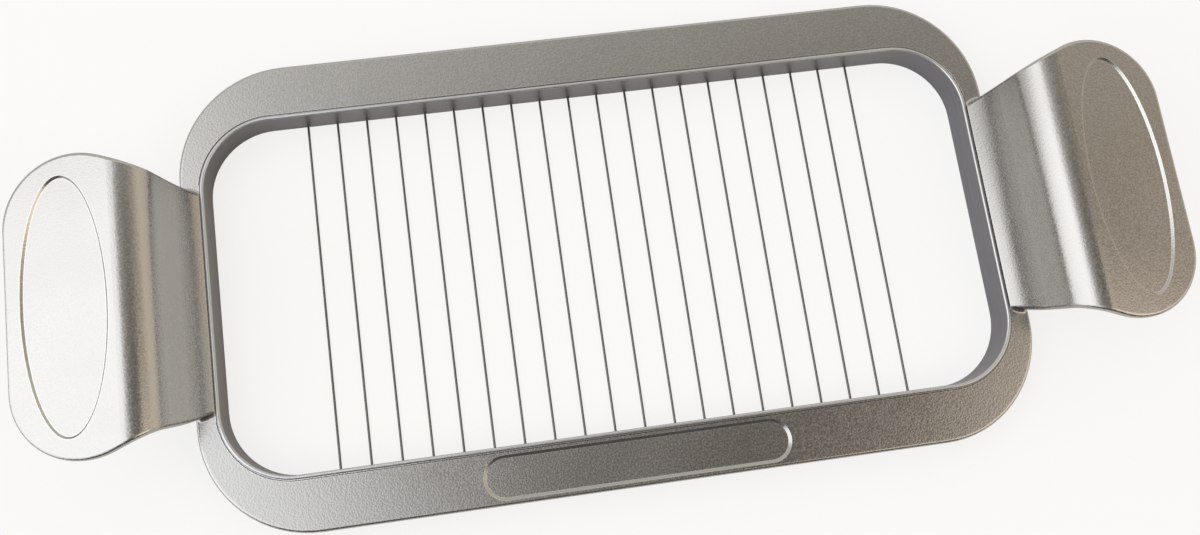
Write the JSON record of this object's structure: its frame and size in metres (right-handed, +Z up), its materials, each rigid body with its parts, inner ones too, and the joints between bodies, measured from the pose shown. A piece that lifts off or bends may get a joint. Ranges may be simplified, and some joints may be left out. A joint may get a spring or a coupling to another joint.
{
  "type": "wire butter slicer",
  "caption": "Hand-held butter slicer: a long rounded cast frame with a curved wing handle at each end and parallel cutting wires strung across its open ring.",
  "frame": {"origin": "middle of the plane that the slicer rests on, under the centre of its opening", "axes": "+X along the slicer from handle to handle, +Y to its back rail, +Z up out of the resting plane"},
  "size_m": [0.2328, 0.0968, 0.0251],
  "materials": {
    "cast_metal": "satin, fine bead-blasted casting",
    "ring_steel": "smooth drawn strip, satin",
    "wire_steel": "bright drawn wire",
    "clamp_steel": "plain milled bar",
    "screw_steel": "turned, cross recess"
  },
  "bodies": {
    "root": {"frame": "cast_metal", "wire_ring": "ring_steel", "wire_01": "wire_steel", "wire_02": "wire_steel", "wire_03": "wire_steel", "wire_04": "wire_steel", "wire_05": "wire_steel", "wire_06": "wire_steel", "wire_07": "wire_steel", "wire_08": "wire_steel", "wire_09": "wire_steel", "wire_10": "wire_steel", "wire_11": "wire_steel", "wire_12": "wire_steel", "wire_13": "wire_steel", "wire_14": "wire_steel", "wire_15": "wire_steel", "wire_16": "wire_steel", "wire_17": "wire_steel", "wire_18": "wire_steel", "wire_19": "wire_steel", "wire_20": "wire_steel", "wire_clamp_front": "clamp_steel", "wire_clamp_back": "clamp_steel", "clamp_screws_front": "screw_steel", "clamp_screws_back": "screw_steel"}
  },
  "joints": []
}
